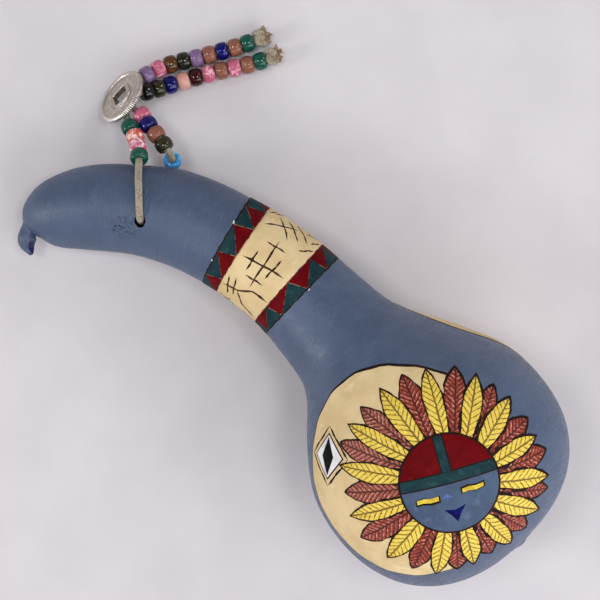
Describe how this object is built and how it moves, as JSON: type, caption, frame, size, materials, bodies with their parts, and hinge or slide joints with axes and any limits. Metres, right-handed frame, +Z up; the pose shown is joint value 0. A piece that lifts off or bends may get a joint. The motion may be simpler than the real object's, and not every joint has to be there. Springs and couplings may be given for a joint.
{
  "type": "carved gourd",
  "caption": "Hollow dried gourd with a round bulb and a bent neck, painted and carved with a sun face and a patterned band, and a beaded suede lace with a round disc through the neck.",
  "frame": {"origin": "on the resting surface, under the middle of the gourd without its lace", "axes": "+Z up with the gourd lying on its side, +X along the gourd from the stem end to the bulb, +Y towards the side the lace lies on"},
  "size_m": [0.2961, 0.198, 0.122],
  "materials": {
    "painted_gourd": "satin slate-blue paint on a carved gourd, with cream, red, teal, yellow and rust artwork",
    "stem_paint": "slate-blue paint, dark at the cut end",
    "seed": "dry and matt",
    "suede": "napped suede, frayed at the ends",
    "silver": "worn silver colour",
    "bead_lavender": "glossy coloured glass",
    "bead_pink": "glossy coloured glass",
    "bead_amber": "glossy coloured glass",
    "bead_dark_green": "glossy coloured glass",
    "bead_tan": "glossy coloured glass",
    "bead_blue": "glossy coloured glass",
    "bead_green": "glossy coloured glass",
    "bead_black_green": "glossy coloured glass",
    "bead_olive": "glossy coloured glass",
    "bead_peach": "glossy coloured glass",
    "bead_maroon": "glossy coloured glass",
    "bead_light_blue": "glossy coloured glass",
    "bead_marbled": "glossy coloured glass",
    "bead_coral": "glossy coloured glass"
  },
  "bodies": {
    "gourd": {"gourd_shell": "painted_gourd", "stem": "stem_paint", "dry_seed_1": "seed", "dry_seed_2": "seed", "dry_seed_3": "seed", "dry_seed_4": "seed", "lace_a": "suede", "lace_b": "suede", "lace_bridge": "suede", "knot_a": "suede", "knot_b": "suede"},
    "disc": {"disc": "silver", "disc_loop": "silver"},
    "bead_leg_a_1": {"bead_leg_a_1": "bead_green"},
    "bead_leg_a_2": {"bead_leg_a_2": "bead_marbled"},
    "bead_leg_a_3": {"bead_leg_a_3": "bead_coral"},
    "bead_leg_a_4": {"bead_leg_a_4": "bead_green"},
    "bead_strand_a_1": {"bead_strand_a_1": "bead_lavender"},
    "bead_strand_a_2": {"bead_strand_a_2": "bead_pink"},
    "bead_strand_a_3": {"bead_strand_a_3": "bead_amber"},
    "bead_strand_a_4": {"bead_strand_a_4": "bead_dark_green"},
    "bead_strand_a_5": {"bead_strand_a_5": "bead_lavender"},
    "bead_strand_a_6": {"bead_strand_a_6": "bead_tan"},
    "bead_strand_a_7": {"bead_strand_a_7": "bead_blue"},
    "bead_strand_a_8": {"bead_strand_a_8": "bead_tan"},
    "bead_strand_a_9": {"bead_strand_a_9": "bead_green"},
    "bead_slider": {"bead_slider": "bead_light_blue"},
    "bead_leg_b_1": {"bead_leg_b_1": "bead_olive"},
    "bead_leg_b_2": {"bead_leg_b_2": "bead_tan"},
    "bead_leg_b_3": {"bead_leg_b_3": "bead_blue"},
    "bead_leg_b_4": {"bead_leg_b_4": "bead_pink"},
    "bead_strand_b_1": {"bead_strand_b_1": "bead_black_green"},
    "bead_strand_b_2": {"bead_strand_b_2": "bead_olive"},
    "bead_strand_b_3": {"bead_strand_b_3": "bead_blue"},
    "bead_strand_b_4": {"bead_strand_b_4": "bead_peach"},
    "bead_strand_b_5": {"bead_strand_b_5": "bead_maroon"},
    "bead_strand_b_6": {"bead_strand_b_6": "bead_pink"},
    "bead_strand_b_7": {"bead_strand_b_7": "bead_tan"},
    "bead_strand_b_8": {"bead_strand_b_8": "bead_pink"},
    "bead_strand_b_9": {"bead_strand_b_9": "bead_tan"},
    "bead_strand_b_10": {"bead_strand_b_10": "bead_green"}
  },
  "joints": [
    {"name": "bead_leg_a_1_spin", "type": "hinge", "parent": "gourd", "child": "bead_leg_a_1", "pos_m": [-0.11041, 0.04183, 0.03436], "axis": [-0.4702, 0.5339, -0.7027], "continuous": true},
    {"name": "bead_leg_a_2_spin", "type": "hinge", "parent": "gourd", "child": "bead_leg_a_2", "pos_m": [-0.11411, 0.0456, 0.0301], "axis": [-0.592, 0.5473, -0.5916], "continuous": true},
    {"name": "bead_leg_a_3_spin", "type": "hinge", "parent": "gourd", "child": "bead_leg_a_3", "pos_m": [-0.11845, 0.04911, 0.02624], "axis": [-0.7149, 0.4544, -0.5314], "continuous": true},
    {"name": "bead_leg_a_4_spin", "type": "hinge", "parent": "gourd", "child": "bead_leg_a_4", "pos_m": [-0.12372, 0.05179, 0.02287], "axis": [-0.746, 0.425, -0.5126], "continuous": true},
    {"name": "bead_strand_a_1_spin", "type": "hinge", "parent": "gourd", "child": "bead_strand_a_1", "pos_m": [-0.13329, 0.07938, 0.00892], "axis": [0.3994, 0.8739, -0.277], "continuous": true},
    {"name": "bead_strand_a_2_spin", "type": "hinge", "parent": "gourd", "child": "bead_strand_a_2", "pos_m": [-0.13036, 0.08525, 0.00715], "axis": [0.49, 0.8401, -0.2325], "continuous": true},
    {"name": "bead_strand_a_3_spin", "type": "hinge", "parent": "gourd", "child": "bead_strand_a_3", "pos_m": [-0.12662, 0.09076, 0.0058], "axis": [0.6069, 0.779, -0.1576], "continuous": true},
    {"name": "bead_strand_a_4_spin", "type": "hinge", "parent": "gourd", "child": "bead_strand_a_4", "pos_m": [-0.12219, 0.09585, 0.005], "axis": [0.6822, 0.727, -0.0775], "continuous": true},
    {"name": "bead_strand_a_5_spin", "type": "hinge", "parent": "gourd", "child": "bead_strand_a_5", "pos_m": [-0.1175, 0.10076, 0.00471], "axis": [0.6745, 0.7381, -0.0139], "continuous": true},
    {"name": "bead_strand_a_6_spin", "type": "hinge", "parent": "gourd", "child": "bead_strand_a_6", "pos_m": [-0.11298, 0.10584, 0.0047], "axis": [0.6633, 0.7483, 0], "continuous": true},
    {"name": "bead_strand_a_7_spin", "type": "hinge", "parent": "gourd", "child": "bead_strand_a_7", "pos_m": [-0.10849, 0.11095, 0.0047], "axis": [0.6566, 0.7543, 0], "continuous": true},
    {"name": "bead_strand_a_8_spin", "type": "hinge", "parent": "gourd", "child": "bead_strand_a_8", "pos_m": [-0.10405, 0.1161, 0.0047], "axis": [0.6521, 0.7581, 0], "continuous": true},
    {"name": "bead_strand_a_9_spin", "type": "hinge", "parent": "gourd", "child": "bead_strand_a_9", "pos_m": [-0.09984, 0.12144, 0.0047], "axis": [0.5786, 0.8156, 0], "continuous": true},
    {"name": "bead_slider_slide", "type": "slide", "parent": "gourd", "child": "bead_slider", "axis": [-0.0633, 0.1789, 0.9818], "range_m": [0, 0.002]},
    {"name": "bead_leg_b_1_spin", "type": "hinge", "parent": "gourd", "child": "bead_leg_b_1", "pos_m": [-0.1043, 0.05364, 0.02705], "axis": [-0.9217, 0.3673, -0.125], "continuous": true},
    {"name": "bead_leg_b_2_spin", "type": "hinge", "parent": "gourd", "child": "bead_leg_b_2", "pos_m": [-0.11056, 0.05595, 0.02573], "axis": [-0.9143, 0.3082, -0.2628], "continuous": true},
    {"name": "bead_leg_b_3_spin", "type": "hinge", "parent": "gourd", "child": "bead_leg_b_3", "pos_m": [-0.11665, 0.05796, 0.02349], "axis": [-0.857, 0.3296, -0.396], "continuous": true},
    {"name": "bead_leg_b_4_spin", "type": "hinge", "parent": "gourd", "child": "bead_leg_b_4", "pos_m": [-0.12232, 0.06027, 0.02055], "axis": [-0.8833, 0.2455, -0.3993], "continuous": true},
    {"name": "bead_strand_b_1_spin", "type": "hinge", "parent": "gourd", "child": "bead_strand_b_1", "pos_m": [-0.12841, 0.07186, 0.01164], "axis": [0.5726, 0.6494, -0.5005], "continuous": true},
    {"name": "bead_strand_b_2_spin", "type": "hinge", "parent": "gourd", "child": "bead_strand_b_2", "pos_m": [-0.12473, 0.07665, 0.00852], "axis": [0.5471, 0.7436, -0.3843], "continuous": true},
    {"name": "bead_strand_b_3_spin", "type": "hinge", "parent": "gourd", "child": "bead_strand_b_3", "pos_m": [-0.12089, 0.08184, 0.00642], "axis": [0.5872, 0.7707, -0.2475], "continuous": true},
    {"name": "bead_strand_b_4_spin", "type": "hinge", "parent": "gourd", "child": "bead_strand_b_4", "pos_m": [-0.11676, 0.08709, 0.00515], "axis": [0.6228, 0.7727, -0.1227], "continuous": true},
    {"name": "bead_strand_b_5_spin", "type": "hinge", "parent": "gourd", "child": "bead_strand_b_5", "pos_m": [-0.11244, 0.09232, 0.00474], "axis": [0.6513, 0.7584, -0.0243], "continuous": true},
    {"name": "bead_strand_b_6_spin", "type": "hinge", "parent": "gourd", "child": "bead_strand_b_6", "pos_m": [-0.10791, 0.09739, 0.0047], "axis": [0.6703, 0.7421, 0], "continuous": true},
    {"name": "bead_strand_b_7_spin", "type": "hinge", "parent": "gourd", "child": "bead_strand_b_7", "pos_m": [-0.10329, 0.10238, 0.0047], "axis": [0.689, 0.7247, 0], "continuous": true},
    {"name": "bead_strand_b_8_spin", "type": "hinge", "parent": "gourd", "child": "bead_strand_b_8", "pos_m": [-0.09855, 0.10725, 0.0047], "axis": [0.7032, 0.711, 0], "continuous": true},
    {"name": "bead_strand_b_9_spin", "type": "hinge", "parent": "gourd", "child": "bead_strand_b_9", "pos_m": [-0.0938, 0.11212, 0.0047], "axis": [0.6806, 0.7326, 0], "continuous": true},
    {"name": "bead_strand_b_10_spin", "type": "hinge", "parent": "gourd", "child": "bead_strand_b_10", "pos_m": [-0.08937, 0.11728, 0.0047], "axis": [0.6108, 0.7918, 0], "continuous": true},
    {"name": "disc_slide", "type": "slide", "parent": "gourd", "child": "disc", "axis": [-0.255, 0.9166, -0.3079], "range_m": [-0.0015, 0.0015]}
  ]
}
